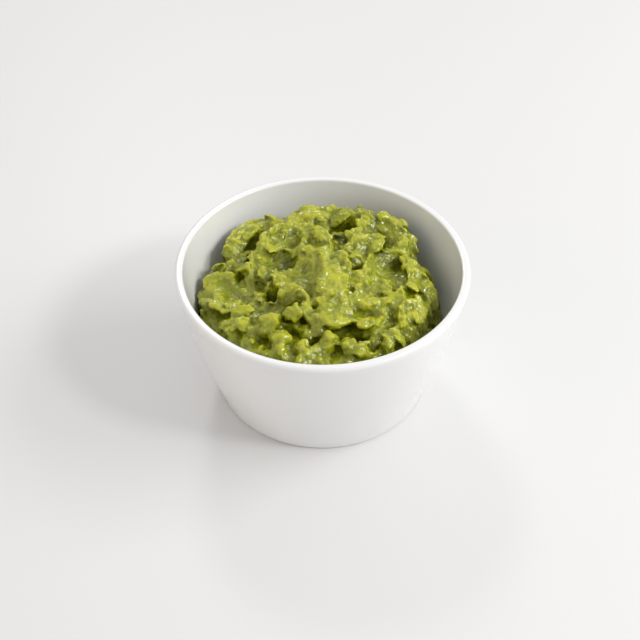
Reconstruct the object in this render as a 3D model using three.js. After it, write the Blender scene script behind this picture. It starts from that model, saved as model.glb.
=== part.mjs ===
// Guacamole in a round porcelain bowl.
//
// Millimetres, +Z up. The origin is the middle of the bowl's foot, on the surface it stands on.
// -Y is the front.
//
// bowl        one turned body: a foot ring, a wall that leans out and swells a little, and a soft lip
// guacamole   one solid heap of mashed avocado, spooned in. It fills the bowl up to where it meets the
//             wall. Above that it stands clear of the wall, with a steep side and a broad, uneven top.
//             The top is a mound raised by folds, dished by spoon marks, opened by gaps between the
//             spoonfuls, and covered with soft lumps of avocado of many sizes.
import * as THREE from "three";

// ---------------------------------------------------------------- sizes

const bowl = {
  height: 65,
  rimRadius: 63, // outside, at the lip
  footRadius: 46, // outside, where the wall meets the foot
  swell: 1.2, // how far the wall bows out between foot and lip
  lipThickness: 3.8,
  lipOuterEdge: 1.6, // radii of the lip's two rounded edges
  lipInnerEdge: 1,
  baseThickness: 4.2, // of the wall, low down
  floorHeight: 5.5, // inside floor above the foot
  floorCorner: 9, // radius between the inside floor and wall
  footEdge: 1.4, // radius at the bottom of the outside wall
  footRing: 4, // width of the ring it stands on
  footRecess: 1.2, // depth of the hollow inside that ring
  around: 60, // facets round the axis
};

const heap = {
  clearance: 0.3, // between heap and bowl
  crown: 61.5, // height of the mound at its middle
  grid: 68, // cells across the top
  fold: 4.8, // height of a full fold above the mound
  lean: 0.55, // how far a fold's crest leans over its steep side, as a share of its height
};

// The brow is where the broad top turns down into the side, by direction from the middle in degrees,
// anticlockwise from the right. `radius` and `height` are the brow's, and `meet` is the height at which
// the side runs onto the wall below it.
const brow = [
  { turn: 0, radius: 41, height: 55, meet: 34 },
  { turn: 25, radius: 39, height: 55.5, meet: 34 },
  { turn: 50, radius: 46.5, height: 58, meet: 37 },
  { turn: 80, radius: 41, height: 59.5, meet: 38 },
  { turn: 105, radius: 38.5, height: 58, meet: 38 },
  { turn: 130, radius: 43.5, height: 55.5, meet: 38 },
  { turn: 152, radius: 44, height: 52, meet: 40 },
  { turn: 180, radius: 43, height: 50.5, meet: 42 },
  { turn: 215, radius: 45, height: 52, meet: 43 },
  { turn: 250, radius: 48, height: 54.5, meet: 50 },
  { turn: 290, radius: 48, height: 55.5, meet: 49 },
  { turn: 325, radius: 44, height: 55, meet: 41 },
  { turn: 343, radius: 41, height: 55, meet: 36 },
];

// ---------------------------------------------------------------- helpers

const clamp01 = (t) => Math.min(1, Math.max(0, t));
const mix = (a, b, t) => a + (b - a) * t;
const ease = (t) => {
  const c = clamp01(t);
  return c * c * (3 - 2 * c);
};
const degrees = (a) => (a * Math.PI) / 180;

// The larger of a and b, rounded where they meet within `blend`.
function softMax(a, b, blend) {
  const h = clamp01(0.5 + (0.5 * (a - b)) / blend);
  return mix(b, a, h) + blend * h * (1 - h);
}

// The same list of numbers from 0 to 1 on every run.
function seededRandom(seed) {
  let state = seed;
  return () => {
    state = (state + 0x6d2b79f5) | 0;
    let t = Math.imul(state ^ (state >>> 15), 1 | state);
    t = (t + Math.imul(t ^ (t >>> 7), 61 | t)) ^ t;
    return ((t ^ (t >>> 14)) >>> 0) / 4294967296;
  };
}

// ---------------------------------------------------------------- bowl

const wallTop = bowl.height - bowl.lipOuterEdge;

function outerRadius(z) {
  const t = z / wallTop;
  return mix(bowl.footRadius, bowl.rimRadius, t) + bowl.swell * Math.sin(Math.PI * clamp01(t));
}

function innerRadius(z) {
  return outerRadius(z) - mix(bowl.baseThickness, bowl.lipThickness, clamp01(z / wallTop));
}

function arc(centre, radius, from, to, steps) {
  return Array.from({ length: steps + 1 }, (_, i) => {
    const a = degrees(mix(from, to, i / steps));
    return new THREE.Vector2(centre[0] + radius * Math.cos(a), centre[1] + radius * Math.sin(a));
  });
}

function wall(radiusAt, from, to, steps) {
  return Array.from({ length: steps + 1 }, (_, i) => {
    const z = mix(from, to, i / steps);
    return new THREE.Vector2(radiusAt(z), z);
  });
}

function makeBowl() {
  const { footEdge, footRing, footRecess, floorHeight, floorCorner, lipOuterEdge, lipInnerEdge } = bowl;
  const standRadius = outerRadius(footEdge) - footEdge;
  const lipInnerZ = bowl.height - lipInnerEdge;
  const cornerTop = floorHeight + floorCorner;
  const cornerCentre = innerRadius(cornerTop) - floorCorner;
  const profile = [
    new THREE.Vector2(0, footRecess),
    new THREE.Vector2(standRadius - footRing, footRecess),
    new THREE.Vector2(standRadius - footRing + footRecess / 2, 0),
    ...arc([standRadius, footEdge], footEdge, -90, -22, 2),
    ...wall(outerRadius, 3 * footEdge, 0.93 * wallTop, 5),
    ...arc([outerRadius(wallTop) - lipOuterEdge, wallTop], lipOuterEdge, 0, 90, 4),
    ...arc([innerRadius(lipInnerZ) + lipInnerEdge, lipInnerZ], lipInnerEdge, 90, 180, 3),
    ...wall(innerRadius, 0.93 * wallTop, cornerTop, 4),
    ...arc([cornerCentre, cornerTop], floorCorner, -18, -90, 4),
    new THREE.Vector2(0, floorHeight),
  ];
  const geometry = new THREE.LatheGeometry(profile, bowl.around);
  geometry.rotateX(Math.PI / 2);
  const porcelain = new THREE.MeshStandardMaterial({ color: 0xf1f0ee, roughness: 0.18, metalness: 0 });
  const mesh = new THREE.Mesh(geometry, porcelain);
  mesh.name = "bowl";
  return mesh;
}

// ---------------------------------------------------------------- guacamole

// Folds, where one spoonful was drawn over another. A fold rises along `path`, fades out over `gentle`
// to the left of the path as it runs, and drops over `steep` to its right. `rise` is a share of heap.fold.
const folds = [
  { name: "back left lobe", gentle: 8, steep: 5, rise: 0.95,
    path: [[-26, 41], [-33, 36], [-38, 32], [-43, 24]] },
  { name: "its inner lobe", path: [[-28, 33], [-32, 28], [-35, 25]], gentle: 4, steep: 3, rise: 0.55 },
  { name: "tall ridge", gentle: 12, steep: 3, rise: 1.1,
    path: [[-17, 33], [-21, 30], [-25, 21], [-33, 11]] },
  { name: "hood beside it", gentle: 3, steep: 3, rise: 1.1,
    path: [[-8, 18], [-9, 26], [-11, 30], [-15, 35]] },
  { name: "middle slab", gentle: 9, steep: 3, rise: 0.95,
    path: [[4, 19], [1, 23], [-3, 26], [-8, 29]] },
  { name: "back edge", gentle: 7, steep: 6, rise: 0.75,
    path: [[4, 44], [-4, 43], [-10, 42], [-16, 43]] },
  { name: "back knob", path: [[0, 43], [3, 46], [6, 43]], gentle: 4, steep: 4, rise: 1.05 },
  { name: "back leaf", path: [[10, 36], [8, 39], [5, 42]], gentle: 4, steep: 3, rise: 0.75 },
  { name: "back right rim", path: [[22, 43], [16, 43], [10, 42]], gentle: 5, steep: 5, rise: 0.8 },
  { name: "back right lump", path: [[16, 37], [18, 34], [17, 30]], gentle: 4, steep: 4, rise: 1.0 },
  { name: "lump by the pit", path: [[18, 25], [15, 26], [12, 24]], gentle: 3.5, steep: 3, rise: 0.8 },
  { name: "right shoulder", path: [[37, 34], [33, 38], [29, 40]], gentle: 4, steep: 4.5, rise: 1.05 },
  { name: "right shoulder, front", gentle: 5, steep: 4, rise: 0.75,
    path: [[42, 22], [39, 27], [36, 32]] },
  { name: "block", path: [[25, 16], [25, 23], [18, 21], [12, 19]], gentle: 5, steep: 2.5, rise: 0.85 },
  { name: "middle fold", path: [[3, 5], [-3, 7], [-7, 11], [-11, 16]], gentle: 5, steep: 4, rise: 1.2 },
  { name: "middle mass", gentle: 5, steep: 14, rise: 1.1,
    path: [[2, -21], [0, -13], [-1, -3], [-1, 4]] },
  { name: "middle crest", path: [[11, 3], [8, 8], [5, 9]], gentle: 5, steep: 4, rise: 0.9 },
  { name: "lumps behind the scoop", path: [[17, 8], [14, 9], [12, 7]], gentle: 3, steep: 3, rise: 0.7 },
  { name: "scoop, far end", path: [[37, 19], [30, 18], [24, 16]], gentle: 4, steep: 4, rise: 0.6 },
  { name: "scoop, left edge", path: [[22, 13], [19, 4], [17, -3]], gentle: 4, steep: 4, rise: 0.65 },
  { name: "curled lip", gentle: 3.5, steep: 2.5, rise: 1.1,
    path: [[34, 16], [37, 10], [38, 3], [36, -2]] },
  { name: "plateau edge", gentle: 5, steep: 2.5, rise: 0.75,
    path: [[2, -13], [7, -15], [12, -13], [15, -12]] },
  { name: "right lump", path: [[48, 14], [45, 12], [42, 10]], gentle: 4, steep: 4, rise: 0.75 },
  { name: "right edge", path: [[49, -8], [49, -3], [48, 3]], gentle: 4, steep: 4, rise: 0.75 },
  { name: "front right lip", gentle: 4, steep: 2.5, rise: 1.05,
    path: [[46, -11], [43, -6], [37, -5], [32, -8]] },
  { name: "front right face", gentle: 5, steep: 6, rise: 1.0,
    path: [[33, -17], [39, -15], [43, -17], [40, -28]] },
  { name: "its foot", path: [[31, -17], [33, -25], [34, -32]], gentle: 4, steep: 4, rise: 0.8 },
  { name: "chunk under the lip", gentle: 3, steep: 2.5, rise: 0.8,
    path: [[26, -11], [29, -11], [31, -15]] },
  { name: "slope under it", path: [[14, -16], [19, -18], [25, -19]], gentle: 6, steep: 5, rise: 0.6 },
  { name: "long coil", gentle: 3.5, steep: 3, rise: 1.2,
    path: [[-6, -21], [-1, -28], [5, -32], [12, -31]] },
  { name: "right of the coil", gentle: 5, steep: 3, rise: 0.75,
    path: [[12, -28], [17, -32], [23, -30]] },
  { name: "coil under it", path: [[-8, -26], [-4, -29], [0, -34]], gentle: 3, steep: 3, rise: 0.7 },
  { name: "short coil", gentle: 4, steep: 3, rise: 1.1,
    path: [[-5, -21], [-9, -14], [-13, -10], [-18, -10]] },
  { name: "round knob", path: [[-15, -26], [-12, -27], [-9, -27]], gentle: 4, steep: 4.5, rise: 1.45 },
  { name: "left tongue", gentle: 4, steep: 4, rise: 1.05,
    path: [[-37, 8], [-31, 6], [-29, 3], [-29, -1]] },
  { name: "behind the tongue", path: [[-25, 5], [-21, 1], [-20, -5]], gentle: 4, steep: 3, rise: 0.7 },
  { name: "left dollop", gentle: 7, steep: 4, rise: 0.75,
    path: [[-38, 5], [-44, 7], [-49, 7], [-52, 2]] },
  { name: "left lobe", gentle: 8, steep: 4, rise: 0.9,
    path: [[-49, -5], [-46, -13], [-41, -17], [-37, -19]] },
  { name: "left rim lump", path: [[-52, 4], [-52, 0], [-51, -7]], gentle: 4, steep: 4, rise: 0.5 },
  { name: "left back knob", gentle: 4, steep: 3.5, rise: 0.85,
    path: [[-50, 13], [-47, 12], [-44, 12]] },
  { name: "left chunk", path: [[-36, -22], [-34, -20], [-31, -21]], gentle: 3, steep: 3, rise: 0.9 },
  { name: "front left lump", gentle: 5, steep: 4, rise: 0.95,
    path: [[-38, -28], [-36, -26], [-32, -27]] },
  { name: "front left lobe", gentle: 5, steep: 6, rise: 1.1,
    path: [[-28, -30], [-23, -30], [-19, -32], [-17, -42]] },
  { name: "front middle lump", gentle: 4, steep: 4, rise: 0.8,
    path: [[-10, -40], [-8, -44], [-9, -48]] },
  { name: "lump row", path: [[-11, -32], [-8, -33], [-5, -34]], gentle: 3, steep: 3, rise: 0.6 },
  { name: "front knob", path: [[1, -42], [5, -40], [9, -42]], gentle: 6, steep: 4, rise: 1.0 },
  { name: "front right lump", gentle: 5, steep: 4, rise: 0.85,
    path: [[12, -44], [15, -44], [18, -46]] },
  { name: "front right knob", gentle: 4.5, steep: 4, rise: 0.85,
    path: [[25, -40], [28, -39], [31, -39]] },
];

// Spoon marks: smooth dishes pressed into the top. They reach `long` and `wide` from their middle, with
// the long way turned by `turn` degrees from the right.
const spoonMarks = [
  { name: "big scoop", at: [28, 9], long: 13, wide: 8, turn: 62, depth: 1.4 },
  { name: "its deep end", at: [33, 12], long: 6, wide: 3.5, turn: 75, depth: 1.6 },
  { name: "valley behind the middle fold", at: [-17, 9], long: 12, wide: 7, turn: 50, depth: 2.6 },
  { name: "valley beside the middle mass", at: [-6, -4], long: 12, wide: 4, turn: 88, depth: 2.6 },
  { name: "left dish", at: [-39, -3], long: 9, wide: 5, turn: -50, depth: 1.6 },
  { name: "pocket under the lip", at: [38, -9], long: 6, wide: 3, turn: 5, depth: 2 },
];

// Gaps left between spoonfuls: deep, with steep sides, placed as the spoon marks are.
const gaps = [
  { name: "left pit", at: [-25, -1], long: 5.5, wide: 3.2, turn: -75, depth: 6.5 },
  { name: "below it", at: [-22, -9], long: 5, wide: 2.8, turn: -60, depth: 5 },
  { name: "under the long coil", at: [9, -36], long: 12, wide: 2.2, turn: 0, depth: 8 },
  { name: "above the long coil", at: [-3, -21], long: 6, wide: 1.8, turn: -50, depth: 3.5 },
  { name: "behind the round knob", at: [-13, -19], long: 5, wide: 1.8, turn: 5, depth: 4 },
  { name: "front left", at: [-14, -32], long: 5, wide: 3, turn: -20, depth: 4.5 },
  { name: "front middle", at: [-4, -39], long: 5, wide: 2.4, turn: 80, depth: 3.5 },
  { name: "front right", at: [22, -38], long: 5, wide: 2.4, turn: 70, depth: 4 },
  { name: "back pit", at: [9, 31], long: 6, wide: 3, turn: 15, depth: 4.5 },
  { name: "end of the back pit", at: [3, 29], long: 3, wide: 2.5, turn: 15, depth: 4 },
  { name: "under the hood", at: [-13, 23], long: 8, wide: 2.6, turn: 86, depth: 3.5 },
  { name: "crack in the tall ridge", at: [-17, 23], long: 8, wide: 1.6, turn: 76, depth: 2.6 },
  { name: "nick by the plateau", at: [11, -10], long: 4, wide: 2, turn: 10, depth: 3 },
  { name: "nick by the scoop", at: [15, 3], long: 3, wide: 2.2, turn: 20, depth: 3 },
  { name: "nick by the crest", at: [3, 6], long: 3.5, wide: 1.8, turn: 80, depth: 3.5 },
  { name: "nick by the block", at: [26, 24], long: 5, wide: 1.6, turn: 88, depth: 3 },
  { name: "behind the tall ridge", at: [-29, 26], long: 12, wide: 2, turn: 52, depth: 3 },
  { name: "beside the tongue", at: [-26, 6], long: 5, wide: 1.6, turn: -85, depth: 3 },
  { name: "below the tongue", at: [-35, 3], long: 5, wide: 2.4, turn: -60, depth: 4 },
  { name: "notch in the back edge", at: [-21, 43], long: 5, wide: 3, turn: 70, depth: 5 },
  { name: "left crease", at: [-46, -6], long: 6, wide: 1.6, turn: -80, depth: 2.6 },
];

const lumps = {
  seed: 7,
  count: 340,
  smallest: 1.6, // radius
  largest: 3.4,
  flatness: 0.68, // height for each millimetre of radius
};

// A fold's path is where its crest ends up. The crest starts from the place on the mound that the lift
// and the lean carry there.
function crestStart(fold, i) {
  const [x, y] = fold.path[i];
  const [fromX, fromY] = fold.path[Math.max(0, i - 1)];
  const [toX, toY] = fold.path[Math.min(fold.path.length - 1, i + 1)];
  const length = Math.hypot(toX - fromX, toY - fromY);
  const height = heap.fold * fold.rise;
  const normal = moundNormal(x, y);
  const moved = (start, lift, steep) => start - height * (lift + heap.lean * steep);
  return new THREE.Vector2(
    moved(x, normal.x, (toY - fromY) / length),
    moved(y, normal.y, (fromX - toX) / length),
  );
}

const foldPaths = folds.map((fold) => {
  const curve = new THREE.SplineCurve(fold.path.map((_, i) => crestStart(fold, i)));
  return { ...fold, points: curve.getPoints(10) };
});

// Height of one fold at (x, y), above the mound, and the direction of its steep side there.
function foldAt(fold, x, y) {
  let nearest = { gap: Infinity };
  const last = fold.points.length - 1;
  for (let i = 0; i < last; i += 1) {
    const a = fold.points[i];
    const b = fold.points[i + 1];
    const alongX = b.x - a.x;
    const alongY = b.y - a.y;
    const t = clamp01(((x - a.x) * alongX + (y - a.y) * alongY) / (alongX ** 2 + alongY ** 2));
    const gap = Math.hypot(x - a.x - t * alongX, y - a.y - t * alongY);
    if (gap < nearest.gap) {
      const length = Math.hypot(alongX, alongY);
      const side = alongX * (y - a.y) - alongY * (x - a.x);
      nearest = { gap, side, share: (i + t) / last, steepX: alongY / length, steepY: -alongX / length };
    }
  }
  const isGentle = nearest.side > 0;
  const across = clamp01(nearest.gap / (isGentle ? fold.gentle : fold.steep));
  const profile = isGentle ? 1 - across ** 1.4 : (1 - across ** 2) ** 0.7;
  const along = 0.75 + 0.25 * Math.sin(Math.PI * nearest.share);
  return { ...nearest, height: heap.fold * fold.rise * along * profile };
}

// Share of a turned oval's depth at (x, y): 1 at its middle and 0 at its edge.
function ovalShare(oval, x, y, sharpness) {
  const a = degrees(oval.turn);
  const dx = x - oval.at[0];
  const dy = y - oval.at[1];
  const u = (dx * Math.cos(a) + dy * Math.sin(a)) / oval.long;
  const v = (-dx * Math.sin(a) + dy * Math.cos(a)) / oval.wide;
  return clamp01(1 - (u * u + v * v)) ** sharpness;
}

// Value of one of the brow's measures in any direction, eased from each named direction to the next.
function browAt(measure, angle) {
  const turn = ((angle * 180) / Math.PI + 360) % 360;
  const after = brow.findIndex((point) => point.turn > turn);
  const to = after < 0 ? { ...brow[0], turn: 360 } : brow[after];
  const from = after < 0 ? brow[brow.length - 1] : brow[after - 1];
  return mix(from[measure], to[measure], ease((turn - from.turn) / (to.turn - from.turn)));
}

function edgeRadius(angle) {
  return innerRadius(browAt("meet", angle)) - heap.clearance;
}

// The smooth mound under the folds: a low crown as far as the brow, then a side that falls to the wall.
function moundHeight(x, y) {
  const angle = Math.atan2(y, x);
  const radius = Math.hypot(x, y);
  const browRadius = browAt("radius", angle);
  const browHeight = browAt("height", angle);
  if (radius < browRadius) return mix(heap.crown, browHeight, ease(radius / browRadius));
  const out = (radius - browRadius) / (edgeRadius(angle) - browRadius);
  return mix(browHeight, browAt("meet", angle), clamp01(out) ** 1.4);
}

// Lumps lie all over the heap, many small and few large, and thin out in the spoon marks.
function scatterLumps() {
  const random = seededRandom(lumps.seed);
  const placed = [];
  while (placed.length < lumps.count) {
    const radius = mix(lumps.smallest, lumps.largest, random() ** 1.8);
    const angle = 2 * Math.PI * random();
    const reach = (edgeRadius(angle) - 1) * Math.sqrt(random());
    const x = reach * Math.cos(angle);
    const y = reach * Math.sin(angle);
    const smooth = Math.max(...spoonMarks.map((mark) => ovalShare(mark, x, y, 0.5)));
    if (random() > smooth * 1.3) placed.push({ x, y, z: moundHeight(x, y), radius });
  }
  return placed;
}

const scattered = scatterLumps();

function lumpHeight(x, y, z) {
  let height = 0;
  for (const lump of scattered) {
    const gap = Math.hypot(x - lump.x, y - lump.y, z - lump.z);
    if (gap < lump.radius) {
      height = Math.max(height, lumps.flatness * Math.sqrt(lump.radius ** 2 - gap ** 2));
    }
  }
  return height;
}

// A point of the top: the mound's own point, moved out of the mound by the relief and over by the folds'
// lean. `loose` fades both out towards the wall.
function topPoint(x, y, loose) {
  const z = moundHeight(x, y);
  const nearby = foldPaths.map((fold) => foldAt(fold, x, y)).filter((fold) => fold.height > 0);
  const raised = nearby.reduce((most, fold) => softMax(most, fold.height, 0.5), 0);
  const weight = nearby.reduce((sum, fold) => sum + fold.height ** 4, 1e-6);
  const leanX = nearby.reduce((sum, fold) => sum + fold.steepX * fold.height ** 5, 0) / weight;
  const leanY = nearby.reduce((sum, fold) => sum + fold.steepY * fold.height ** 5, 0) / weight;
  const dished = spoonMarks.reduce((sum, mark) => sum + mark.depth * ovalShare(mark, x, y, 1.2), 0);
  const opened = gaps.reduce((most, gap) => Math.max(most, gap.depth * ovalShare(gap, x, y, 0.8)), 0);
  const relief = (raised + lumpHeight(x, y, z) - dished - opened) * loose;
  const normal = moundNormal(x, y);
  const shift = heap.lean * loose;
  const point = new THREE.Vector3(x + leanX * shift, y + leanY * shift, z).addScaledVector(normal, relief);
  return keepInside(point);
}

function moundNormal(x, y) {
  const step = 1.5;
  const slopeX = (moundHeight(x + step, y) - moundHeight(x - step, y)) / (2 * step);
  const slopeY = (moundHeight(x, y + step) - moundHeight(x, y - step)) / (2 * step);
  return new THREE.Vector3(-slopeX, -slopeY, 1).normalize();
}

// What would reach past the wall lies flat against it.
function keepInside(point) {
  const radius = Math.hypot(point.x, point.y);
  const limit = innerRadius(point.z) - heap.clearance;
  const scale = Math.min(1, limit / Math.max(radius, 1));
  return [point.x * scale, point.y * scale, point.z];
}

// A square grid drawn out to a disc, so that its cells stay nearly equal.
function gridPoint(i, j) {
  const u = (2 * i) / heap.grid - 1;
  const v = (2 * j) / heap.grid - 1;
  const x = u * Math.sqrt(1 - (v * v) / 2);
  const y = v * Math.sqrt(1 - (u * u) / 2);
  const share = Math.min(1, Math.hypot(x, y));
  const radius = share * edgeRadius(Math.atan2(y, x));
  const angle = Math.atan2(y, x);
  const loose = 1 - ease((share - 0.94) / 0.06);
  return topPoint(radius * Math.cos(angle), radius * Math.sin(angle), loose);
}

function makeGuacamole() {
  const n = heap.grid;
  const positions = [];
  const triangles = [];
  const add = (point) => positions.push(...point) / 3 - 1;
  const row = n + 1;
  for (let j = 0; j <= n; j += 1) {
    for (let i = 0; i <= n; i += 1) add(gridPoint(i, j));
  }
  for (let j = 0; j < n; j += 1) {
    for (let i = 0; i < n; i += 1) {
      const a = j * row + i;
      // The cell is cut between the two corners nearer in height, so that cuts run along the folds.
      const level = (p, q) => Math.abs(positions[3 * p + 2] - positions[3 * q + 2]);
      if (level(a, a + row + 1) < level(a + 1, a + row)) {
        triangles.push(a, a + 1, a + row + 1, a, a + row + 1, a + row);
      } else {
        triangles.push(a, a + 1, a + row, a + 1, a + row + 1, a + row);
      }
    }
  }
  // The loop of grid points round the edge, anticlockwise from above.
  let loop = [];
  for (let i = 0; i < n; i += 1) loop.push(i);
  for (let j = 0; j < n; j += 1) loop.push(j * row + n);
  for (let i = n; i > 0; i -= 1) loop.push(n * row + i);
  for (let j = n; j > 0; j -= 1) loop.push(j * row);
  // Each ring down the wall keeps every second point of the ring above it, until few enough are left.
  const rings = heapRings();
  for (const ring of rings) {
    const kept = ring.halve ? loop.filter((_, i) => i % 2 === 0) : loop;
    const next = kept.map((index) => {
      const angle = Math.atan2(positions[3 * index + 1], positions[3 * index]);
      const radius = ring.radius ?? edgeRadius(angle);
      return add([radius * Math.cos(angle), radius * Math.sin(angle), ring.z]);
    });
    joinRings(loop, next, triangles);
    loop = next;
  }
  const centre = add([0, 0, bowl.floorHeight + heap.clearance]);
  loop.forEach((a, i) => triangles.push(a, centre, loop[(i + 1) % loop.length]));

  const geometry = new THREE.BufferGeometry();
  geometry.setAttribute("position", new THREE.Float32BufferAttribute(positions, 3));
  geometry.setIndex(triangles);
  geometry.computeVertexNormals();
  const avocado = new THREE.MeshStandardMaterial({ color: 0x8f9c2e, roughness: 0.38, metalness: 0 });
  const mesh = new THREE.Mesh(geometry, avocado);
  mesh.name = "guacamole";
  return mesh;
}

// Heights and radii of the rings that carry the heap down the inside of the bowl to its floor.
function heapRings() {
  const { floorHeight, floorCorner } = bowl;
  const cornerTop = floorHeight + floorCorner;
  const cornerCentre = innerRadius(cornerTop) - floorCorner;
  const corner = floorCorner - heap.clearance;
  const down = [40, 28, cornerTop].map((z, i) => ({
    z,
    radius: innerRadius(z) - heap.clearance,
    halve: i < 2,
  }));
  const round = [-45, -90].map((a) => ({
    z: cornerTop + corner * Math.sin(degrees(a)),
    radius: cornerCentre + corner * Math.cos(degrees(a)) * 0.98,
    halve: false,
  }));
  return [...down, ...round];
}

// Triangles between two rings. The lower ring has as many points as the upper one, or half as many.
function joinRings(upper, lower, triangles) {
  const count = upper.length;
  const step = count / lower.length;
  for (let i = 0; i < count; i += step) {
    const a = upper[i];
    const b = upper[(i + step) % count];
    const c = lower[i / step];
    const d = lower[(i / step + 1) % lower.length];
    if (step === 2) {
      const middle = upper[i + 1];
      triangles.push(a, c, middle, middle, c, d, middle, d, b);
    } else {
      triangles.push(a, c, d, a, d, b);
    }
  }
}

const model = new THREE.Group();
model.add(makeBowl(), makeGuacamole());
export default model;
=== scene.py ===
import itertools
import math
import random
import bpy
from mathutils import Matrix, Vector, bvhtree, noise


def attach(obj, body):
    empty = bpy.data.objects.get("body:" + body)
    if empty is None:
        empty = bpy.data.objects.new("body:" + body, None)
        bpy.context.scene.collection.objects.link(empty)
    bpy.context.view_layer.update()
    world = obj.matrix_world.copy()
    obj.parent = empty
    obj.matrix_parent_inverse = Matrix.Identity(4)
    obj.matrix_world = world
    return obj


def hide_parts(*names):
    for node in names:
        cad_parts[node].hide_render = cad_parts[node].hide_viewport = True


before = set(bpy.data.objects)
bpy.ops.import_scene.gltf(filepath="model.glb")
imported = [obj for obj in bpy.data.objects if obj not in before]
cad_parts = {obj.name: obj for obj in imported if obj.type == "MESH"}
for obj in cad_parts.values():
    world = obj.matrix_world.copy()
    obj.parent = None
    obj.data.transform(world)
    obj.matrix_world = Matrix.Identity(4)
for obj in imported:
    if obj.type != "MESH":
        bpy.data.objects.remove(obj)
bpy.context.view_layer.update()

mm = 0.001


def onlySelect(piece):
    bpy.ops.object.select_all(action="DESELECT")
    piece.select_set(True)
    bpy.context.view_layer.objects.active = piece


def applyModifier(piece, kind, name, **settings):
    onlySelect(piece)
    modifier = piece.modifiers.new(name, kind)
    for key, value in settings.items():
        setattr(modifier, key, value)
    bpy.ops.object.modifier_apply(modifier=name)


def addNode(tree, kind, x, y, **values):
    # a value goes to the socket of that name, or else to the node itself
    node = tree.nodes.new(kind)
    node.location = (x, y)
    for key, value in values.items():
        if key in node.inputs:
            node.inputs[key].default_value = value
        else:
            setattr(node, key, value)
    return node


def newMaterial(name, settings):
    material = bpy.data.materials.new(name)
    material.use_nodes = True
    tree = material.node_tree
    shader = tree.nodes["Principled BSDF"]
    shader.location = (600, 0)
    tree.nodes["Material Output"].location = (900, 0)
    for socket, value in settings.items():
        shader.inputs[socket].default_value = value
    return material, tree, shader


def noiseBump(tree, coords, x, y, scale, detail, strength, height):
    # bumps of one noise, as a normal for the shader
    pattern = addNode(tree, "ShaderNodeTexNoise", x, y, Scale=scale, Detail=detail)
    bump = addNode(tree, "ShaderNodeBump", x + 300, y, Strength=strength, Distance=height)
    tree.links.new(coords.outputs["Object"], pattern.inputs["Vector"])
    tree.links.new(pattern.outputs["Fac"], bump.inputs["Height"])
    return bump.outputs["Normal"]


bowlShape = {
    "height": 65 * mm,
    "rimRadius": 63 * mm,
    "footRadius": 46 * mm,
    "swell": 1.2 * mm,  # how far the wall swells out of a straight line
    "lipThickness": 3.8 * mm,
    "lipOuterEdge": 1.6 * mm,
    "lipInnerEdge": 1.0 * mm,
    "baseThickness": 4.2 * mm,
    "floorHeight": 5.5 * mm,
    "floorCorner": 9 * mm,
    "footEdge": 1.4 * mm,
    "footRing": 4 * mm,  # width of the ring that the bowl stands on
    "footRecess": 1.2 * mm,
    "around": 144,
    "smoothDegrees": 35,
}
wallTop = bowlShape["height"] - bowlShape["lipOuterEdge"]


def wallShare(z):
    return min(1, max(0, z / wallTop))


def outerRadius(z):
    s = bowlShape
    lean = s["footRadius"] + (s["rimRadius"] - s["footRadius"]) * z / wallTop
    return lean + s["swell"] * math.sin(math.pi * wallShare(z))


def innerRadius(z):
    s = bowlShape
    thickness = s["baseThickness"] + (s["lipThickness"] - s["baseThickness"]) * wallShare(z)
    return outerRadius(z) - thickness


def arcPoints(centreR, centreZ, radius, fromDegrees, toDegrees, steps):
    points = []
    for i in range(steps + 1):
        angle = math.radians(fromDegrees + (toDegrees - fromDegrees) * i / steps)
        points.append((centreR + radius * math.cos(angle), centreZ + radius * math.sin(angle)))
    return points


def wallPoints(radiusAt, low, high, steps):
    heights = [low + (high - low) * i / steps for i in range(steps + 1)]
    return [(radiusAt(z), z) for z in heights]


def bowlProfile():
    # radius and height from under the foot, up the outside, over the lip and down to the floor
    s = bowlShape
    standRadius = outerRadius(s["footEdge"]) - s["footEdge"]
    ringInside = standRadius - s["footRing"]
    wallFrom = 2.4 * s["footEdge"]
    wallTo = 0.95 * wallTop
    lipOuterCentre = outerRadius(wallTop) - s["lipOuterEdge"]
    lipInnerZ = s["height"] - s["lipInnerEdge"]
    lipInnerCentre = innerRadius(lipInnerZ) + s["lipInnerEdge"]
    cornerTop = s["floorHeight"] + s["floorCorner"]
    cornerCentre = innerRadius(cornerTop) - s["floorCorner"]
    return [
        (ringInside, s["footRecess"]),
        (ringInside + 0.3 * s["footRecess"], 0.6 * s["footRecess"]),
        (ringInside + 0.6 * s["footRecess"], 0),
        *arcPoints(standRadius, s["footEdge"], s["footEdge"], -90, -10, 6),
        *wallPoints(outerRadius, wallFrom, wallTo, 12),
        *arcPoints(lipOuterCentre, wallTop, s["lipOuterEdge"], 0, 90, 7),
        *arcPoints(lipInnerCentre, lipInnerZ, s["lipInnerEdge"], 90, 180, 5),
        *wallPoints(innerRadius, wallTo, cornerTop, 10),
        *arcPoints(cornerCentre, cornerTop, s["floorCorner"], -14, -90, 7),
    ]


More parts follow.
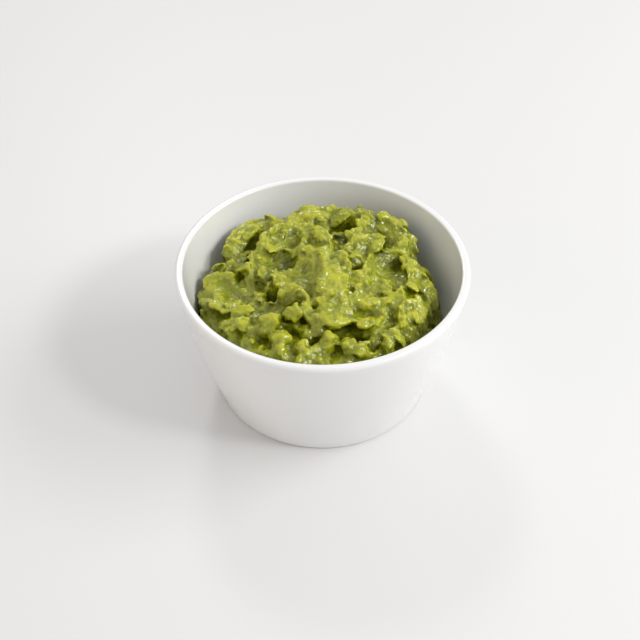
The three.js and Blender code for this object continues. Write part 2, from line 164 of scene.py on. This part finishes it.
def makeBowl():
    profile = bowlProfile()
    radius, z = profile[0]
    bpy.ops.object.select_all(action="DESELECT")
    bpy.ops.mesh.primitive_circle_add(
        vertices=bowlShape["around"], radius=radius, fill_type="TRIFAN", location=(0, 0, z)
    )
    bowl = bpy.context.object
    bowl.name = "bowlGlazed"
    bpy.ops.object.transform_apply(location=True)
    bpy.ops.object.mode_set(mode="EDIT")
    bpy.ops.mesh.select_mode(type="VERT")
    bpy.ops.mesh.select_all(action="SELECT")
    bpy.ops.mesh.region_to_loop()
    for nextRadius, nextZ in profile[1:]:
        bpy.ops.mesh.extrude_edges_move(TRANSFORM_OT_translate={"value": (0, 0, nextZ - z)})
        scale = nextRadius / radius
        bpy.ops.transform.resize(value=(scale, scale, 1), center_override=(0, 0, nextZ))
        radius, z = nextRadius, nextZ
    # the last ring closes to the middle of the bowl's floor
    bpy.ops.mesh.extrude_edges_move()
    bpy.ops.mesh.merge(type="CENTER")
    bpy.ops.mesh.select_all(action="SELECT")
    bpy.ops.mesh.normals_make_consistent(inside=False)
    bpy.ops.object.mode_set(mode="OBJECT")
    bpy.ops.object.shade_smooth_by_angle(angle=math.radians(bowlShape["smoothDegrees"]))
    return bowl


heapShape = {
    "roughVoxel": 0.6 * mm,  # skin that the lumps and lips are placed on
    "voxel": 0.42 * mm,  # skin that joins them all
    "sinkBefore": 0.45 * mm,  # makes room for what is put on top
    "softenFacets": 5,
    "softenLumps": 5,
    "seed": 11,
    "hiddenBelow": 35 * mm,
    "fadeIn": 4 * mm,  # detail grows to its full height over this much above the hidden part
    "hiddenKept": 0.1,  # share of the hidden faces that is kept
    "mostTriangles": 190000,
    "clearOfBowl": 0.15 * mm,
    "plumbFrom": 100 * mm,  # well above the heap
}

# lumps of avocado that are still whole: how many, their radius, how flat they lie and how deep they sink
lumpKinds = [
    {"count": 320, "small": 1.8 * mm, "large": 3.4 * mm,
     "flat": 0.5, "sunk": 0.6, "rough": 0.5, "detail": 3},
    {"count": 450, "small": 1.0 * mm, "large": 1.8 * mm,
     "flat": 0.6, "sunk": 0.5, "rough": 0.5, "detail": 2},
]

# where they lie: crowded in patches, few where the spoon smeared the mash, and none on overhangs
crowding = {"usual": 0.6, "varies": 1.1, "patch": 9 * mm, "fewerOnSmears": 1.8, "overhang": -0.3}

# rounded knobs in their own places: x, y and radius, in mm
knobs = [
    (-23, -33, 6.0), (-19, -39, 5.0), (-26, -40, 4.0), (-34, -28, 4.0), (-36, -14, 2.8), (-12, -27, 4.2),
    (-10, -42, 3.6), (-5, -36, 3.6), (-2, -44, 3.2), (4, -42, 4.8), (10, -43, 3.8), (15, -46, 3.6),
    (20, -36, 3.8), (25, -39, 4.0), (29, -32, 3.8), (45, -2, 3.4), (40, 10, 2.8), (36, 21, 2.8),
    (9, -19, 3.0), (3, -17, 2.6), (12, -23, 2.6), (21, -17, 2.8), (18, -26, 2.6), (26, -21, 2.6),
    (7, -30, 2.4), (-1, -21, 2.4), (-2, 21, 2.8), (12, 22, 2.4), (3, 42, 2.6), (18, 32, 3.6),
    (26, 35, 2.8), (-40, 27, 2.4), (-37, 31, 2.4), (-42, 19, 2.4),
]
knobKind = {"flat": 0.8, "sunk": 0.65, "rough": 0.4, "detail": 3}

# mash between them: crumbs with creases around each, and fine grain
crumbLayers = [
    {"size": 4.4 * mm, "height": 0.7 * mm, "crease": 0.9, "mixed": 0.5},
    {"size": 2.4 * mm, "height": 0.6 * mm, "crease": 0.9, "mixed": 0.5},
    {"size": 1.3 * mm, "height": 0.24 * mm, "crease": 0.9, "mixed": 0.4},
]
grain = {"size": 0.8 * mm, "height": 0.08 * mm}
crumbRule = {
    "patch": 8 * mm,  # size of the patches where the mash is smoother
    "smoothInPatches": 0.3,
    "smoothOnSmears": 1.4,
    "flattened": 0.75,  # share of their height that crumbs lose in smooth mash
    "lowest": 0.4,  # height of the lowest crumbs as a share of the highest
    "creaseDepth": 0.25,
}

# curled edges of the folds, seen from above in mm: how thick each is, how far it hangs over its steep
# side, which is the right-hand side of its line, and the line that it follows
lips = {
    "back left lobe": {"thick": 2.2, "over": 0.5, "line": [(-26, 41), (-33, 36), (-38, 32), (-43, 24)]},
    "its inner lobe": {"thick": 1.2, "over": 0.5, "line": [(-28, 33), (-32, 28), (-35, 25)]},
    "tall ridge": {"thick": 1.7, "over": 0.8, "line": [(-17, 33), (-21, 30), (-25, 21), (-33, 11)]},
    "middle slab": {"thick": 1.2, "over": 0.8, "line": [(4, 19), (1, 23), (-3, 26), (-8, 29)]},
    "back edge": {"thick": 1.9, "over": 0.3, "line": [(4, 44), (-4, 43), (-10, 42), (-16, 43)]},
    "back leaf": {"thick": 0.9, "over": 0.9, "line": [(10, 36), (8, 39), (5, 42)]},
    "lump by the pit": {"thick": 1.2, "over": 0.5, "line": [(18, 25), (15, 26), (12, 24)]},
    "right shoulder": {"thick": 2.0, "over": 0.3, "line": [(37, 34), (33, 38), (29, 40)]},
    "shoulder's front": {"thick": 1.8, "over": 0.4, "line": [(42, 22), (39, 27), (36, 32)]},
    "block": {"thick": 1.1, "over": 0.9, "line": [(25, 16), (25, 23), (18, 21), (12, 19)]},
    "middle fold": {"thick": 1.5, "over": 0.8, "line": [(3, 5), (-3, 7), (-7, 11), (-11, 16)]},
    "middle crest": {"thick": 1.1, "over": 0.7, "line": [(11, 3), (8, 8), (5, 9)]},
    "behind the scoop": {"thick": 1.2, "over": 0.4, "line": [(17, 8), (14, 9), (12, 7)]},
    "scoop, far end": {"thick": 1.0, "over": 0.3, "line": [(37, 19), (30, 18), (24, 16)]},
    "curled lip": {"thick": 1.3, "over": 0.9, "line": [(34, 16), (37, 10), (38, 3), (36, -2)]},
    "plateau edge": {"thick": 1.0, "over": 0.8, "line": [(2, -13), (7, -15), (12, -13), (15, -12)]},
    "right lump": {"thick": 2.2, "over": 0.3, "line": [(48, 14), (45, 12), (42, 10)]},
    "front right lip": {"thick": 1.3, "over": 0.8, "line": [(46, -11), (43, -6), (37, -5), (32, -8)]},
    "front right face": {"thick": 2.2, "over": 0.5, "line": [(33, -17), (39, -15), (43, -17), (40, -28)]},
    "chunk under the lip": {"thick": 1.2, "over": 0.8, "line": [(26, -11), (29, -11), (31, -15)]},
    "long coil": {"thick": 2.0, "over": 0.7, "line": [(-6, -21), (-1, -28), (5, -32), (12, -31)]},
    "right of the coil": {"thick": 1.2, "over": 0.7, "line": [(12, -28), (17, -32), (23, -30)]},
    "coil under it": {"thick": 1.6, "over": 0.5, "line": [(-8, -26), (-4, -29), (0, -34)]},
    "short coil": {"thick": 1.3, "over": 0.7, "line": [(-5, -21), (-9, -14), (-13, -10), (-18, -10)]},
    "left tongue": {"thick": 1.2, "over": 0.8, "line": [(-37, 8), (-31, 6), (-29, 3), (-29, -1)]},
    "behind the tongue": {"thick": 1.1, "over": 0.5, "line": [(-25, 5), (-21, 1), (-20, -5)]},
    "left dollop": {"thick": 2.0, "over": 0.4, "line": [(-38, 5), (-44, 7), (-49, 7), (-52, 2)]},
    "left lobe": {"thick": 1.3, "over": 0.8, "line": [(-49, -5), (-46, -13), (-41, -17), (-37, -19)]},
    "left chunk": {"thick": 1.8, "over": 0.3, "line": [(-36, -22), (-34, -20), (-31, -21)]},
}

# how every lip is rolled: spacing, wander and feel in mm, the rest as shares of its own thickness
lipRoll = {
    "spacing": 1.2,
    "wander": 0.8,
    "feel": 0.8,  # the crest is the highest spot within this of the line
    "fat": 1.15,
    "uneven": 0.8,
    "hang": 0.7,
    "sunk": 0.95,
}

# places smeared by the spoon, where few lumps stand out: x, y and reach, in mm
smears = [(28, 9, 10), (-17, 9, 7), (-40, -3, 7), (-24, 22, 6), (-46, -14, 6), (38, -24, 7)]

# drag marks in them: x, y, reach, direction in degrees and height
drags = [
    (29, 9, 10, 35, 0.5),
    (37, -24, 9, -80, 0.6),
    (-21, 25, 8, 75, 0.7),
    (-46, -15, 8, -70, 0.4),
    (-17, 9, 10, 20, 0.3),
]
groove = {"long": 3.5, "wide": 0.9}


def shownShare(z):
    # 0 where the heap is hidden in the bowl, 1 where it shows
    return min(1, max(0, (z - heapShape["hiddenBelow"]) / heapShape["fadeIn"]))


def smearShare(x, y):
    return max(0, max(1 - math.hypot(x / mm - sx, y / mm - sy) / reach for sx, sy, reach in smears))


def weightGroup(piece, name, weightAt):
    group = piece.vertex_groups.new(name=name)
    for vertex in piece.data.vertices:
        weight = weightAt(vertex.co)
        if weight > 0:
            group.add([vertex.index], weight, "REPLACE")


def keepValues(heap, name, values):
    attribute = heap.data.attributes.new(name, "FLOAT", "POINT")
    attribute.data.foreach_set("value", values)


def countTriangles(piece):
    return sum(len(face.vertices) - 2 for face in piece.data.polygons)


def copyOfHeapSolid():
    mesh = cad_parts["guacamole"].data.copy()
    mesh.materials.clear()
    heap = bpy.data.objects.new("guacamoleHeap", mesh)
    bpy.context.scene.collection.objects.link(heap)
    onlySelect(heap)
    bpy.ops.object.mode_set(mode="EDIT")
    bpy.ops.mesh.select_all(action="SELECT")
    bpy.ops.mesh.remove_doubles(threshold=0.01 * mm)
    bpy.ops.object.mode_set(mode="OBJECT")
    return heap


def topAt(heap, x, y):
    # where a plumb line at x, y, in mm, meets the top of the heap, and which way the surface faces there
    start = Vector((x * mm, y * mm, heapShape["plumbFrom"]))
    hit, place, normal, face = heap.ray_cast(start, Vector((0, 0, -1)))
    return place, normal


def crestPoints(line):
    # points along a lip's line, each with the direction of its steep side
    corners = [Vector(point) for point in line]
    points = []
    for start, end in zip(corners, corners[1:]):
        steps = max(2, round((end - start).length / lipRoll["spacing"]))
        right = Vector((end.y - start.y, start.x - end.x)).normalized()
        points += [(start.lerp(end, i / steps), right) for i in range(steps)]
    return points


def layLips(heap):
    # each lip is a tapered roll: it follows its crest and hangs over the steep side
    curve = bpy.data.curves.new("lips", "CURVE")
    curve.dimensions = "3D"
    curve.bevel_depth = 1
    curve.bevel_resolution = 3
    curve.use_fill_caps = True
    for number, lip in enumerate(lips.values()):
        points = crestPoints(lip["line"])
        spline = curve.splines.new("NURBS")
        spline.points.add(len(points) - 1)
        spline.use_endpoint_u = True
        spline.order_u = 4
        for i, (crest, right) in enumerate(points):
            # each lip has its own stretch of the noise
            uneven = noise.noise(Vector((0.45 * i, 3.7 * number, 0)))
            wander = noise.noise(Vector((0.35 * i, 3.7 * number, 9)))
            taper = math.sin(math.pi * (i + 0.8) / (len(points) + 0.6)) ** 0.5
            radius = lip["thick"] * (lipRoll["fat"] + lipRoll["uneven"] * uneven) * taper
            around = [crest + right * step for step in (-lipRoll["feel"], 0, lipRoll["feel"])]
            top = max(topAt(heap, spot.x, spot.y)[0].z for spot in around)
            place = crest + right * (lipRoll["hang"] * lip["over"] * radius + lipRoll["wander"] * wander)
            middle = top - lipRoll["sunk"] * radius * mm
            spline.points[i].co = (place.x * mm, place.y * mm, middle, 1)
            spline.points[i].radius = radius * mm
    rolls = bpy.data.objects.new("lips", curve)
    bpy.context.scene.collection.objects.link(rolls)
    onlySelect(rolls)
    bpy.ops.object.convert(target="MESH")
    return bpy.context.object


def lumpSpot(place, normal, along, size, flat, stretch, kind):
    sunkPlace = place - normal * size * flat * kind["sunk"]
    return {"place": sunkPlace, "normal": normal, "along": along, "size": size, "flat": flat,
            "stretch": stretch, "kind": kind}


def knobSpots(heap):
    spots = []
    for x, y, radius in knobs:
        place, normal = topAt(heap, x, y)
        spots.append(lumpSpot(place, normal, Vector((1, 0, 0)), radius * mm, knobKind["flat"], 1, knobKind))
    return spots


def lumpSpots(heap, draw):
    faces = [face for face in heap.data.polygons if face.center.z > heapShape["hiddenBelow"]]
    upper = [face for face in faces if face.normal.z > crowding["overhang"]]
    areaSums = list(itertools.accumulate(face.area for face in upper))
    spots = []
    for kind in lumpKinds:
        placed = 0
        while placed < kind["count"]:
            face = draw.choices(upper, cum_weights=areaSums)[0]
            size = kind["small"] + (kind["large"] - kind["small"]) * draw.random() ** 2
            crowded = crowding["usual"] + crowding["varies"] * noise.noise(face.center / crowding["patch"])
            crowded -= crowding["fewerOnSmears"] * smearShare(face.center.x, face.center.y)
            if draw.random() < crowded:
                flat = kind["flat"] * draw.uniform(0.8, 1.2)
                along = Vector((draw.uniform(-0.5, 0.5), draw.uniform(-0.5, 0.5), draw.uniform(-0.5, 0.5)))
                stretch = 1 + 0.8 * draw.random() ** 2
                spots.append(lumpSpot(face.center, face.normal.copy(), along, size, flat, stretch, kind))
                placed += 1
    return spots


def makeLumps(spots):
    # one ball for each degree of detail, copied to every spot and made uneven there
    balls = {}
    for kind in lumpKinds:
        bpy.ops.object.select_all(action="DESELECT")
        bpy.ops.mesh.primitive_ico_sphere_add(subdivisions=kind["detail"], radius=1)
        balls[kind["detail"]] = bpy.context.object
    lumps = []
    for i, spot in enumerate(spots):
        ball = balls[spot["kind"]["detail"]]
        lump = ball.copy()
        lump.data = ball.data.copy()
        bpy.context.scene.collection.objects.link(lump)
        size, stretch = spot["size"], spot["stretch"]
        sideways = spot["normal"].cross(spot["along"]).normalized()
        turn = Matrix((sideways.cross(spot["normal"]), sideways, spot["normal"])).transposed()
        offset = Vector((7.3 * i, 3.1 * i, 0))  # each lump has its own part of the noise
        for vertex in lump.data.vertices:
            point = vertex.co.copy()
            rough = 1 + spot["kind"]["rough"] * noise.noise(point * 1.3 + offset)
            shaped = Vector((point.x * stretch, point.y / stretch ** 0.5, point.z * spot["flat"]))
            vertex.co = spot["place"] + turn @ (shaped * size * rough)
        lumps.append(lump)
    for ball in balls.values():
        bpy.data.objects.remove(ball)
    return lumps


def joinInto(heap, pieces):
    bpy.ops.object.select_all(action="DESELECT")
    for piece in pieces:
        piece.select_set(True)
    heap.select_set(True)
    bpy.context.view_layer.objects.active = heap
    bpy.ops.object.join()


def largestPiece(heap):
    # drops the crumbs that touch nothing
    onlySelect(heap)
    bpy.ops.object.mode_set(mode="EDIT")
    bpy.ops.mesh.select_all(action="SELECT")
    bpy.ops.mesh.separate(type="LOOSE")
    bpy.ops.object.mode_set(mode="OBJECT")
    pieces = sorted(bpy.context.selected_objects, key=lambda piece: len(piece.data.polygons))
    for piece in pieces[:-1]:
        bpy.data.objects.remove(piece)
    pieces[-1].name = "guacamoleHeap"
    return pieces[-1]


def thinHiddenPart(heap):
    # what lies under the surface, against the bowl, needs few faces
    s = heapShape
    hidden = sum(1 for vertex in heap.data.vertices if vertex.co.z < s["hiddenBelow"])
    share = hidden / len(heap.data.vertices)
    weightGroup(heap, "hidden", lambda place: 1.0 if place.z < s["hiddenBelow"] else 0.0)
    applyModifier(heap, "DECIMATE", "plain underside", ratio=1 - share * (1 - s["hiddenKept"]),
                  vertex_group="hidden")


def dragHeight(x, y, z):
    # long low grooves where the spoon dragged over the surface; all in mm
    height = 0
    for centreX, centreY, reach, direction, rise in drags:
        share = 1 - math.hypot(x - centreX, y - centreY) / reach
        if share > 0:
            turn = math.radians(direction)
            along = x * math.cos(turn) + y * math.sin(turn)
            across = y * math.cos(turn) - x * math.sin(turn)
            pattern = Vector((along / groove["long"], across / groove["wide"], z / groove["long"]))
            height += rise * min(1, 2 * share) * noise.noise(pattern)
    return height


def crumbAt(place, layer):
    # how domed the crumb is here, from 0 in the crease around it to 1, and how high this crumb stands
    warped = place / layer["size"]
    warped += layer["mixed"] * noise.noise_vector(place / (1.7 * layer["size"]))
    distances, centres = noise.voronoi(warped)
    ridge = min(1, (distances[1] - distances[0]) / layer["crease"])
    dome = ridge * ridge * (3 - 2 * ridge)
    raised = 0.5 + 0.9 * noise.noise(centres[0] * 7.31)
    return dome, raised


def crumble(heap):
    # raises the crumbs of the mash between their creases, and keeps a tone for the colour that is paler on
    # the taller crumbs and darker on the lower ones
    s = crumbRule
    tones = []
    normals = [vertex.normal.copy() for vertex in heap.data.vertices]
    for vertex, normal in zip(heap.data.vertices, normals):
        place = vertex.co.copy()
        shown = shownShare(place.z)
        tone = 0.5
        if shown > 0:
            smooth = s["smoothInPatches"] * max(0, 0.5 + 1.3 * noise.noise(place / s["patch"]))
            smooth = min(1, smooth + s["smoothOnSmears"] * smearShare(place.x, place.y))
            height = dragHeight(place.x / mm, place.y / mm, place.z / mm) * mm
            for layer in crumbLayers:
                dome, raised = crumbAt(place, layer)
                rise = dome * (s["lowest"] + (1 - s["lowest"]) * raised) - s["creaseDepth"]
                height += layer["height"] * (1 - s["flattened"] * smooth) * rise
                tone += 0.5 * dome * (raised - 0.5)
            height += grain["height"] * noise.noise(place / grain["size"])
            vertex.co = place + normal * height * shown
        tones.append(min(1, max(0, tone)))
    keepValues(heap, "crumbTone", tones)


def keepInBowl(heap):
    # no crumb reaches into the porcelain
    for vertex in heap.data.vertices:
        radius = math.hypot(vertex.co.x, vertex.co.y)
        limit = innerRadius(vertex.co.z) - heapShape["clearOfBowl"]
        if vertex.co.z > bowlShape["floorHeight"] + bowlShape["floorCorner"] and radius > limit:
            vertex.co.x *= limit / radius
            vertex.co.y *= limit / radius


# what the painted shade and light in the colour are worked out from: the averaged surface, and the room
# that a point sees around it
standingOut = {"rounds": 25, "factor": 0.9, "most": 0.7 * mm}
seesOut = {"reach": 15 * mm, "lift": 0.3 * mm, "rings": [(20, 9), (45, 7), (70, 4)]}


def howProud(heap):
    # how far each point stands out of the averaged surface: 0 deep, 0.5 level, 1 proud; the colour uses it
    # for painted shade in the dips and painted light on proud edges
    s = standingOut
    smooth = heap.copy()
    smooth.data = heap.data.copy()
    bpy.context.scene.collection.objects.link(smooth)
    applyModifier(smooth, "SMOOTH", "average", factor=s["factor"], iterations=s["rounds"])
    normals = [vertex.normal.copy() for vertex in smooth.data.vertices]
    values = []
    for vertex, mean, normal in zip(heap.data.vertices, smooth.data.vertices, normals):
        values.append(min(1, max(0, 0.5 + 0.5 * (vertex.co - mean.co).dot(normal) / s["most"])))
    keepValues(heap, "proud", values)
    bpy.data.objects.remove(smooth)


def skyDirections():
    # rings of directions: how high each ring is, in degrees, and how many it has
    directions = []
    for climb, around in seesOut["rings"]:
        flat = math.cos(math.radians(climb))
        up = math.sin(math.radians(climb))
        for i in range(around):
            turn = 2 * math.pi * (i + climb / 90) / around
            directions.append(Vector((flat * math.cos(turn), flat * math.sin(turn), up)))
    return directions


def howOpen(heap):
    # how much of the room above each point sees past its neighbours: 0 shut in, 1 open; the colour uses it
    # for painted shade where the mash is shut in, and the wet film for painted shade on its sheen
    directions = skyDirections()
    tree = bvhtree.BVHTree.FromObject(heap, bpy.context.evaluated_depsgraph_get())
    values = []
    for vertex in heap.data.vertices:
        seen = 0
        if vertex.co.z > heapShape["hiddenBelow"]:
            start = vertex.co + vertex.normal * seesOut["lift"]
            for direction in directions:
                if tree.ray_cast(start, direction, seesOut["reach"])[0] is None:
                    seen += 1
        values.append(seen / len(directions))
    keepValues(heap, "open", values)


def makeHeap():
    s = heapShape
    draw = random.Random(s["seed"])
    noise.seed_set(s["seed"])  # unseeded, noise_vector would follow the clock
    heap = copyOfHeapSolid()
    applyModifier(heap, "REMESH", "fine skin", mode="VOXEL", voxel_size=s["roughVoxel"])
    applyModifier(heap, "SMOOTH", "soften facets", factor=0.5, iterations=s["softenFacets"])

    print("guacamole: knobs, lumps and lips")
    pieces = makeLumps(knobSpots(heap) + lumpSpots(heap, draw)) + [layLips(heap)]
    weightGroup(heap, "shown", lambda place: shownShare(place.z))
    applyModifier(heap, "DISPLACE", "sink", strength=-s["sinkBefore"], mid_level=0, vertex_group="shown")
    joinInto(heap, pieces)
    applyModifier(heap, "REMESH", "one skin", mode="VOXEL", voxel_size=s["voxel"])
    heap = largestPiece(heap)
    applyModifier(heap, "SMOOTH", "soften lumps", factor=0.5, iterations=s["softenLumps"])
    thinHiddenPart(heap)

    print("guacamole: crumbs and tones")
    crumble(heap)
    keepInBowl(heap)
    heap.vertex_groups.clear()
    howProud(heap)
    howOpen(heap)
    applyModifier(heap, "DECIMATE", "fewer triangles", ratio=s["mostTriangles"] / countTriangles(heap))
    onlySelect(heap)
    bpy.ops.object.shade_smooth()
    return heap


glaze = {
    "creamy": (0.81, 0.808, 0.797, 1),
    "white": (0.84, 0.84, 0.835, 1),
    "cloudScale": 35.0,
    "waves": {"scale": 260.0, "detail": 2.0, "strength": 0.05, "height": 0.4 * mm},
    "shader": {"Roughness": 0.22, "Coat Weight": 0.5, "Coat Roughness": 0.08},
}


def porcelain():
    # white glaze, a little cloudy, with the faint waviness of a glazed surface
    material, tree, shader = newMaterial("whiteGlaze", glaze["shader"])
    links = tree.links
    coords = addNode(tree, "ShaderNodeTexCoord", -900, 0)
    cloud = addNode(tree, "ShaderNodeTexNoise", -650, 100, Scale=glaze["cloudScale"], Detail=3.0)
    tint = addNode(tree, "ShaderNodeValToRGB", -400, 150)
    tint.color_ramp.elements[0].color = glaze["creamy"]
    tint.color_ramp.elements[1].color = glaze["white"]
    links.new(coords.outputs["Object"], cloud.inputs["Vector"])
    links.new(cloud.outputs["Fac"], tint.inputs["Fac"])
    links.new(tint.outputs["Color"], shader.inputs["Base Color"])
    links.new(noiseBump(tree, coords, -650, -300, **glaze["waves"]), shader.inputs["Normal"])
    return material


avocado = {
    "tones": [  # from painted shade where shut in to painted light where open and proud
        (0.0, (0.040, 0.042, 0.001, 1)),
        (0.3, (0.118, 0.130, 0.003, 1)),
        (0.6, (0.262, 0.285, 0.005, 1)),
        (1.0, (0.55, 0.545, 0.028, 1)),
    ],
    # shares of the crumbs' height tone, of the painted shade in dips and painted light on proud edges, and
    # of the painted shade where the mash is shut in
    "toneShares": {"crumbTone": 0.20, "proud": 0.50, "open": 1.05},
    "toneSpan": (0.9, 2.2),  # sum of the shares at the darkest and at the palest
    "cloudScale": 90.0,
    "tintScale": 260.0,
    "yellow": {"tint": (1.0, 0.95, 0.6, 1), "from": 0.50, "to": 0.70, "most": 0.5},
    "green": {"tint": (0.87, 1.0, 0.95, 1), "from": 0.50, "to": 0.30, "most": 0.4},
    "pits": {"scale": 900.0, "detail": 2.0, "strength": 0.7, "height": 0.4 * mm},
    "beads": {"scale": 500.0, "detail": 1.0, "strength": 0.9, "height": 0.8 * mm},
    "filmOpen": (0.45, 0.72),  # the wet film fades out where the mash is shut in: painted shade on its sheen
    "filmMost": 0.9,
    "shader": {
        "Roughness": 0.4,
        "Specular IOR Level": 0.04,
        "Coat Roughness": 0.08,
        "Coat IOR": 1.6,
        "Subsurface Weight": 0.35,
        "Subsurface Radius": (1.0, 0.8, 0.1),
        "Subsurface Scale": 1.5 * mm,
    },
}


def mapped(tree, source, x, y, fromMin, fromMax, toMin, toMax):
    node = addNode(tree, "ShaderNodeMapRange", x, y)
    for name, value in (("From Min", fromMin), ("From Max", fromMax), ("To Min", toMin), ("To Max", toMax)):
        node.inputs[name].default_value = value
    tree.links.new(source, node.inputs["Value"])
    return node.outputs["Result"]


def addTint(tree, colour, pattern, tint, x):
    mix = addNode(tree, "ShaderNodeMixRGB", x, 300, blend_type="MULTIPLY")
    mix.inputs["Color2"].default_value = tint["tint"]
    amount = mapped(tree, pattern, x - 200, 600, tint["from"], tint["to"], 0, tint["most"])
    tree.links.new(amount, mix.inputs["Fac"])
    tree.links.new(colour, mix.inputs["Color1"])
    return mix.outputs["Color"]


def mashedAvocado():
    material, tree, shader = newMaterial("mashedAvocado", avocado["shader"])
    links = tree.links
    coords = addNode(tree, "ShaderNodeTexCoord", -1500, 0)

    # painted light and shade over a cloud of tone: paler where the mash stands proud and open, darker where
    # it is shut in
    cloud = addNode(tree, "ShaderNodeTexNoise", -1250, 300, Detail=3.0, Roughness=0.6,
                    Scale=avocado["cloudScale"])
    links.new(coords.outputs["Object"], cloud.inputs["Vector"])
    kept = {}
    total = cloud.outputs["Fac"]
    for i, (name, share) in enumerate(avocado["toneShares"].items()):
        kept[name] = addNode(tree, "ShaderNodeAttribute", -1250, 50 - 200 * i, attribute_name=name)
        added = addNode(tree, "ShaderNodeMath", -1000 + 180 * i, 150, operation="MULTIPLY_ADD")
        added.inputs[1].default_value = share
        links.new(kept[name].outputs["Fac"], added.inputs[0])
        links.new(total, added.inputs[2])
        total = added.outputs[0]
    colours = addNode(tree, "ShaderNodeValToRGB", -150, 250)
    stops = colours.color_ramp.elements
    stops[0].position, stops[0].color = avocado["tones"][0]
    stops[1].position, stops[1].color = avocado["tones"][-1]
    for place, colour in avocado["tones"][1:-1]:
        stops.new(place).color = colour
    links.new(mapped(tree, total, -350, 250, *avocado["toneSpan"], 0, 1), colours.inputs["Fac"])

    # some lumps yellower and some greener than the rest
    patches = addNode(tree, "ShaderNodeTexNoise", -1250, 600, Scale=avocado["tintScale"], Detail=2.0)
    links.new(coords.outputs["Object"], patches.inputs["Vector"])
    tinted = addTint(tree, colours.outputs["Color"], patches.outputs["Fac"], avocado["yellow"], 200)
    tinted = addTint(tree, tinted, patches.outputs["Fac"], avocado["green"], 400)
    links.new(tinted, shader.inputs["Base Color"])

    # fine pits in the mash, and a wet film over it in beads that glint
    links.new(noiseBump(tree, coords, -350, -300, **avocado["pits"]), shader.inputs["Normal"])
    links.new(noiseBump(tree, coords, -350, -550, **avocado["beads"]), shader.inputs["Coat Normal"])
    # the wet film fades where the mash is shut in, as painted shade on its reflection
    openness = kept["open"].outputs["Fac"]
    filmDimmedInShade = mapped(tree, openness, 0, -800, *avocado["filmOpen"], 0, avocado["filmMost"])
    links.new(filmDimmedInShade, shader.inputs["Coat Weight"])
    return material


cameraSetup = {
    "place": (-0.04 * mm, -457.7 * mm, 461.1 * mm),
    "downDegrees": 43.08,
    "turnDegrees": 0.12,
    "lens": 80.03,
    "sensor": 36,
}


def makeCamera():
    s = cameraSetup
    camera = bpy.data.objects.new("camera", bpy.data.cameras.new("camera"))
    bpy.context.scene.collection.objects.link(camera)
    camera.location = s["place"]
    camera.rotation_euler = (math.radians(90 - s["downDegrees"]), 0, math.radians(s["turnDegrees"]))
    camera.data.lens = s["lens"]
    camera.data.sensor_width = s["sensor"]
    camera.data.clip_start = 0.01
    bpy.context.scene.camera = camera


floorFinish = {"Base Color": (0.745, 0.742, 0.736, 1), "Roughness": 0.45}


def makeFloor():
    bpy.ops.object.select_all(action="DESELECT")
    bpy.ops.mesh.primitive_plane_add(size=6, location=(0, 0, 0))
    floor = bpy.context.object
    floor.name = "floor"
    floor.data.materials.append(newMaterial("paleFloor", floorFinish)[0])


# a wide window from the right, two smaller lamps for the glints, and a warm table on the left
lamps = [
    {"name": "window", "place": (1.0, 0.05, 0.78), "aimHeight": 0.05,
     "size": (0.8, 0.4), "power": 7.3, "colour": (1.0, 0.985, 0.965)},
    {"name": "rightLamp", "place": (0.85, -0.45, 0.95), "aimHeight": 0.05,
     "size": (0.20, 0.20), "power": 4.2, "colour": (1.0, 1.0, 1.0)},
    {"name": "backLamp", "place": (-0.25, 1.10, 0.95), "aimHeight": 0.05,
     "size": (0.26, 0.26), "power": 2.7, "colour": (1.0, 1.0, 1.0)},
    {"name": "tableGlow", "place": (-1.1, -0.4, 0.45), "aimHeight": 0.03,
     "size": (1.0, 1.0), "power": 2.3, "colour": (1.0, 0.76, 0.48)},
]
room = {"colour": (0.97, 0.98, 1.0, 1), "strength": 0.63}


def makeLight():
    for lamp in lamps:
        light = bpy.data.objects.new(lamp["name"], bpy.data.lights.new(lamp["name"], "AREA"))
        bpy.context.scene.collection.objects.link(light)
        light.location = lamp["place"]
        aim = Vector((0, 0, lamp["aimHeight"])) - Vector(lamp["place"])
        light.rotation_euler = aim.to_track_quat("-Z", "Y").to_euler()
        light.data.shape = "RECTANGLE"
        light.data.size, light.data.size_y = lamp["size"]
        light.data.energy = lamp["power"]
        light.data.color = lamp["colour"]
    world = bpy.data.worlds.new("room")
    bpy.context.scene.world = world
    world.use_nodes = True
    background = world.node_tree.nodes["Background"]
    background.inputs["Color"].default_value = room["colour"]
    background.inputs["Strength"].default_value = room["strength"]
    bpy.context.scene.view_settings.view_transform = "Standard"


print("camera, floor and light")
makeCamera()
makeFloor()
makeLight()

print("bowl")
bowl = makeBowl()
bowl.data.materials.append(porcelain())
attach(bowl, "root")
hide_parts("bowl")

print("guacamole: skin of the heap")
heap = makeHeap()
heap.data.materials.append(mashedAvocado())
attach(heap, "root")
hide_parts("guacamole")
print("guacamole triangles", countTriangles(heap))
